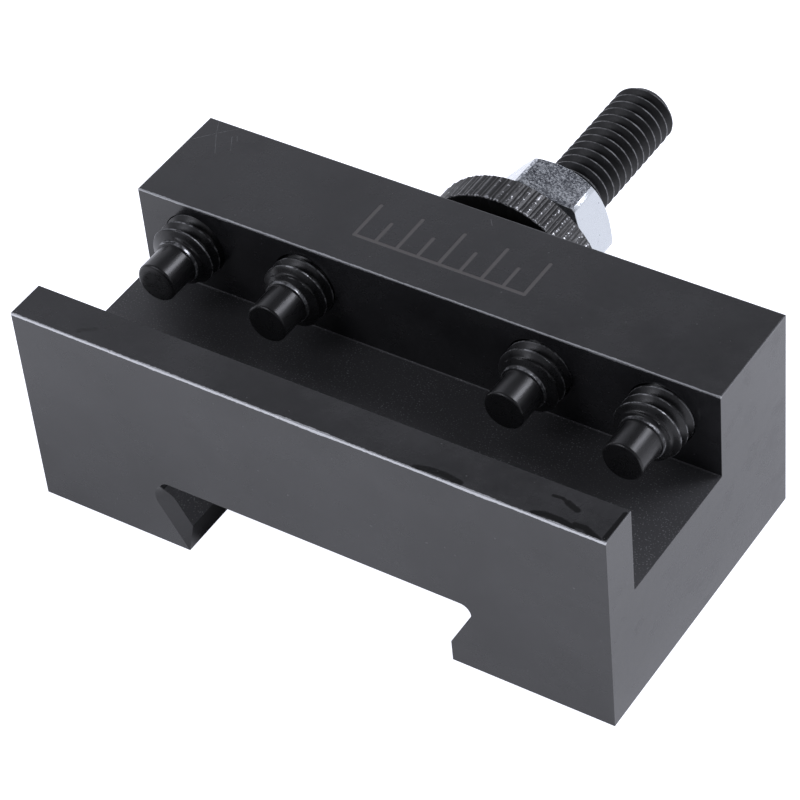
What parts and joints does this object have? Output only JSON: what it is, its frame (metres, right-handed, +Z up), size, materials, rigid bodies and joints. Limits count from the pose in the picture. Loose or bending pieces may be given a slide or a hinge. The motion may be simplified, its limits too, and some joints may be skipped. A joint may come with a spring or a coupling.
{
  "type": "lathe tool holder",
  "caption": "Dovetail lathe tool holder with a tool slot, set screws through its rear jaw, and a height stud carrying a knurled wheel and lock nut.",
  "frame": {"origin": "on the surface that the holder's feet rest on, under the middle of the whole holder's box", "axes": "+X along the tool slot, +Y from the front lip to the free end of the stud, +Z up out of the tool slot"},
  "size_m": [0.075, 0.075, 0.0277],
  "materials": {
    "block_steel": "ground steel, black oxide, oiled, worn bright along the edges",
    "screw_steel": "glossy black oxide with bright thread crests",
    "wheel_steel": "black oxide, coarse straight knurl with bright worn points",
    "zinc_plate": "bright blue-white zinc plate, one facet mottled"
  },
  "bodies": {
    "holder": {"holder_body": "block_steel", "height_stud": "screw_steel"},
    "set_screw_1": {"set_screw_1": "screw_steel"},
    "set_screw_2": {"set_screw_2": "screw_steel"},
    "set_screw_3": {"set_screw_3": "screw_steel"},
    "set_screw_4": {"set_screw_4": "screw_steel"},
    "thumb_wheel": {"thumb_wheel": "wheel_steel"},
    "lock_nut": {"lock_nut": "zinc_plate"}
  },
  "joints": [
    {"name": "set_screw_1_travel", "type": "slide", "parent": "holder", "child": "set_screw_1", "axis": [0, 1, 0], "range_m": [-0.0065, 0.00777]},
    {"name": "set_screw_2_travel", "type": "slide", "parent": "holder", "child": "set_screw_2", "axis": [0, 1, 0], "range_m": [-0.0065, 0.00771]},
    {"name": "set_screw_3_travel", "type": "slide", "parent": "holder", "child": "set_screw_3", "axis": [0, 1, 0], "range_m": [-0.0067, 0.00753]},
    {"name": "set_screw_4_travel", "type": "slide", "parent": "holder", "child": "set_screw_4", "axis": [0, 1, 0], "range_m": [-0.0058, 0.00842]},
    {"name": "thumb_wheel_travel", "type": "slide", "parent": "holder", "child": "thumb_wheel", "axis": [0, 1, 0], "range_m": [-0.0017, 0.0135]},
    {"name": "lock_nut_travel", "type": "slide", "parent": "thumb_wheel", "child": "lock_nut", "axis": [0, 1, 0], "range_m": [0, 0.006]}
  ]
}
